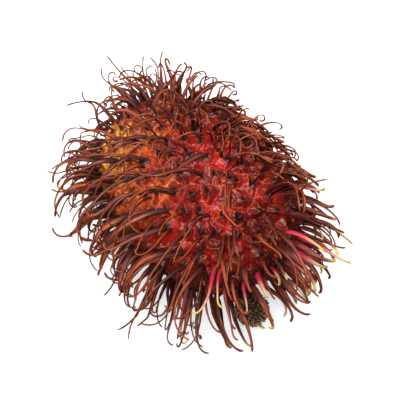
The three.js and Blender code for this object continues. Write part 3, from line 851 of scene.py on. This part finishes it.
def dead_stub():
    """Dead broken tissue: rough and nearly black, with a brown frayed tip."""
    material, add_node = new_material("dead_stub")
    along = add_node("Attribute", {"attribute_name": "along"}, {})
    position = add_node("TexCoord", {}, {}).outputs["Object"]
    grain = add_node("TexNoise", {}, {"Vector": position, "Scale": 1 / (0.5 * MM), "Detail": 3.0})
    tip = add_node("MapRange", SMOOTH, {"Value": along, "From Min": 0.6, "From Max": 1.0, "To Max": 0.7})
    colour = add_node("Mix", COLOURS, {"Factor": tip, "A": "2c140f", "B": "6a4238"})
    bump = add_node("Bump", {}, {"Strength": 0.7, "Distance": 0.2 * MM, "Height": grain})
    tissue = add_node("BsdfPrincipled", {}, {
        "Base Color": colour, "Roughness": 0.65, "Normal": bump, "IOR": 1.45,
        "Specular IOR Level": 0.25, "Specular Tint": (1.0, 0.6, 0.5, 1.0),
    })
    add_node("OutputMaterial", {}, {"Surface": tissue})
    return material


stubs = make_stubs(bearing)
stubs.data.materials.append(dead_stub())
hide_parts("spiny_rind")
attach(stubs, "root")

# ----------------------------------------
# The bristly knob. The fruit's stunted twin: its flower set two ovaries, and this one never swelled. It
# dried to a dark ball packed with blunt bristles, on a woody neck that stands in the rind.
# ----------------------------------------
KNOB_BRISTLES = 1000
BRISTLE_LENGTH, BRISTLE_LENGTH_SPREAD = 0.9, 0.35
BRISTLE_HALF_WIDTH = 0.11
BRISTLE_SINK = 0.3  # into the core
BRISTLE_TILT, BRISTLE_BOW = 0.7, 0.25
BRISTLE_RINGS = np.array([0, 0.6, 0.9, 1.0])  # shares of its length
BRISTLE_TAPER = np.array([1.2, 1.1, 0.9, 0.35])  # of its half width, at those rings
BRISTLE_THICKNESS = (0.8, 0.8)
NECK_DEPTH = 1.4  # in the rind
NECK_BEVEL = 0.4


def make_bristles():
    """Blunt bristles all round the core, each tilted and bowed its own way."""
    directions = spread_directions(KNOB_BRISTLES)
    draw = draws_from(np.arange(KNOB_BRISTLES) + 9001)
    tilt = np.stack([draw() - 0.5, draw() - 0.5, draw() - 0.5], axis=1)
    heading = unit(directions + BRISTLE_TILT * tilt)
    start = KNOB_CENTRE + directions * (KNOB_RADIUS - BRISTLE_LENGTH - BRISTLE_SINK)
    length = BRISTLE_LENGTH + BRISTLE_SINK + BRISTLE_LENGTH_SPREAD * (draw() - 0.7)
    bow = BRISTLE_BOW * unit(np.cross(heading, tilt))
    paths = np.stack([start + heading * (length * s)[:, None] + bow * s * s for s in BRISTLE_RINGS], axis=1)
    half_widths = BRISTLE_HALF_WIDTH * (0.7 + 0.6 * draw())[:, None] * BRISTLE_TAPER
    across = unit(np.cross(heading, TO_STEM))
    untwisted = np.zeros(KNOB_BRISTLES)
    rod = make_straight_ribbon(5, len(BRISTLE_RINGS))
    piece = make_ribbons("knob_bristles", rod, paths, half_widths, across, untwisted, BRISTLE_THICKNESS, 0)
    set_measure(piece, "tone", draw())
    return piece


def make_knob_core():
    """The ball that the bristles stand on, and its neck, whose foot is out of sight in the rind."""
    bpy.ops.object.select_all(action="DESELECT")
    bpy.ops.mesh.primitive_ico_sphere_add(subdivisions=5, radius=(KNOB_RADIUS - BRISTLE_LENGTH) * MM)
    core = bpy.context.object
    core.name = core.data.name = "knob_core"
    turn = Vector((0, 0, 1)).rotation_difference(Vector(KNOB_AXIS)).to_matrix().to_4x4()
    core.data.transform(Matrix.Translation(Vector(KNOB_CENTRE) * MM) @ turn)
    neck_length = NECK_DEPTH + KNOB_RISE
    bpy.ops.mesh.primitive_cylinder_add(vertices=48, radius=NECK_RADIUS * MM, depth=neck_length * MM)
    neck = bpy.context.object
    bpy.ops.object.mode_set(mode="EDIT")
    bpy.ops.mesh.select_all(action="SELECT")
    bpy.ops.mesh.bevel(offset=NECK_BEVEL * MM, segments=3)
    bpy.ops.object.mode_set(mode="OBJECT")
    middle = KNOB_FOOT + KNOB_AXIS * (neck_length / 2 - NECK_DEPTH)
    neck.data.transform(Matrix.Translation(Vector(middle) * MM) @ turn)
    bpy.ops.object.select_all(action="DESELECT")
    neck.select_set(True)
    core.select_set(True)
    bpy.context.view_layer.objects.active = core
    bpy.ops.object.join()
    bpy.ops.object.shade_smooth()
    return core


def dried_bristle():
    """Dead woody tissue, gone dry on the fruit: matt, with painted shade in the depths between the bristles,
    and tan at its frayed ends, partly as painted highlight.
    """
    material, add_node = new_material("dried_bristle")
    along, tone = (add_node("Attribute", {"attribute_name": name}, {}) for name in ("along", "tone"))
    # darker towards the core: painted shade in the depths between the bristles; the tan ends are partly
    # painted highlight
    unshaded_outer = add_node("MapRange", SMOOTH, {"Value": along, "From Min": 0.4, "From Max": 1.0})
    frayed = add_node("MapRange", SMOOTH, {"Value": tone, "From Min": 0.1, "From Max": 0.9})
    ends = add_node("Math", {"operation": "MULTIPLY"}, {0: unshaded_outer, 1: frayed})
    colour = add_node("Mix", COLOURS, {"Factor": ends, "A": "35241b", "B": "c99263"})
    wood = add_node("BsdfPrincipled", {}, {"Base Color": colour, "Roughness": 0.7, "IOR": 1.5})
    add_node("OutputMaterial", {}, {"Surface": wood})
    return material


def dried_core():
    """The same dead tissue between the bristles and on the neck: bark-like, cracked and nearly black."""
    material, add_node = new_material("dried_core")
    position = add_node("TexCoord", {}, {}).outputs["Object"]
    cracks = add_node("TexNoise", {}, {"Vector": position, "Scale": 1 / (0.6 * MM), "Detail": 5.0})
    raised = add_node("MapRange", SMOOTH, {"Value": cracks, "From Min": 0.4, "From Max": 0.7})
    colour = add_node("Mix", COLOURS, {"Factor": raised, "A": "241a15", "B": "5c4133"})
    bump = add_node("Bump", {}, {"Strength": 0.8, "Distance": 0.3 * MM, "Height": cracks})
    wood = add_node("BsdfPrincipled", {}, {
        "Base Color": colour, "Roughness": 0.8, "IOR": 1.5, "Normal": bump,
    })
    add_node("OutputMaterial", {}, {"Surface": wood})
    return material


knob_core = make_knob_core()
knob_core.data.materials.append(dried_core())
knob_bristles = make_bristles()
knob_bristles.data.materials.append(dried_bristle())
for piece in (knob_core, knob_bristles):
    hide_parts("bristly_knob")
    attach(piece, "root")

# ----------------------------------------
# The studio. A plain white floor and background, broad soft lights, and a camera that looks down on the
# fruit. Rays from the fruit miss the floor, so that it neither lights it from below nor shows in its wax.
# ----------------------------------------
VIEW_AZIMUTH, VIEW_ELEVATION = 52, 50  # degrees
VIEW_DISTANCE = 230
FRAME_WIDTH = 84  # of the subject plane
SENSOR_WIDTH = 36
LOOK_AT = np.array([0.0, 0.0, 15.6])
FRAME_SHIFT = (0.0075, -0.02)  # of the frame's width
FLOOR_SIZE = 4  # metres
SOFTBOX_DISTANCE = 500
SOFTBOXES = [  # name, degrees round from the camera, elevation, size in metres and power in watts
    ("left", -100, 58, 0.3, 2.3),
    ("right", 105, 58, 0.3, 1.9),
    ("front", 5, 66, 0.3, 1.0),
    ("low", -20, 25, 0.25, 1.4),
]
SURROUND_STRENGTH = 0.1


def white_acrylic():
    """A white acrylic light table: matt, and lit from below, so that only a faint shadow shows on it."""
    material, add_node = new_material("white_acrylic")
    acrylic = add_node("BsdfPrincipled", {}, {
        "Base Color": "c8c8c8", "Roughness": 0.9, "Emission Color": "ffffff", "Emission Strength": 0.62,
    })
    add_node("OutputMaterial", {}, {"Surface": acrylic})
    return material


def place_facing_fruit(name, data, azimuth, elevation, distance):
    """Puts a light or a camera at an azimuth and elevation, in degrees, turned to the fruit."""
    a, e = math.radians(azimuth), math.radians(elevation)
    back = Vector((math.sin(a) * math.cos(e), -math.cos(a) * math.cos(e), math.sin(e)))
    thing = bpy.data.objects.new(name, data)
    thing.location = Vector(LOOK_AT * MM) + back * distance * MM
    thing.rotation_euler = back.to_track_quat("Z", "Y").to_euler()
    bpy.context.collection.objects.link(thing)
    return thing


bpy.ops.object.select_all(action="DESELECT")
bpy.ops.mesh.primitive_plane_add(size=FLOOR_SIZE)
floor = bpy.context.object
floor.name = "floor"
floor.data.materials.append(white_acrylic())
floor.visible_glossy = False
floor.visible_diffuse = False

world = bpy.data.worlds.new("white_surround")
world.use_nodes = True
background = world.node_tree.nodes["Background"]
background.inputs["Color"].default_value = (1, 1, 1, 1)
background.inputs["Strength"].default_value = SURROUND_STRENGTH
bpy.context.scene.world = world

for name, round_from_camera, elevation, size, power in SOFTBOXES:
    light = bpy.data.lights.new(name, "AREA")
    light.energy = power
    light.size = size
    place_facing_fruit(name, light, VIEW_AZIMUTH + round_from_camera, elevation, SOFTBOX_DISTANCE)

lens = bpy.data.cameras.new("camera")
lens.sensor_width = SENSOR_WIDTH
lens.lens = SENSOR_WIDTH * VIEW_DISTANCE / FRAME_WIDTH
lens.clip_start = 0.01
lens.shift_x, lens.shift_y = FRAME_SHIFT
camera = place_facing_fruit("camera", lens, VIEW_AZIMUTH, VIEW_ELEVATION, VIEW_DISTANCE)
bpy.context.scene.camera = camera
bpy.context.scene.view_settings.view_transform = "Standard"
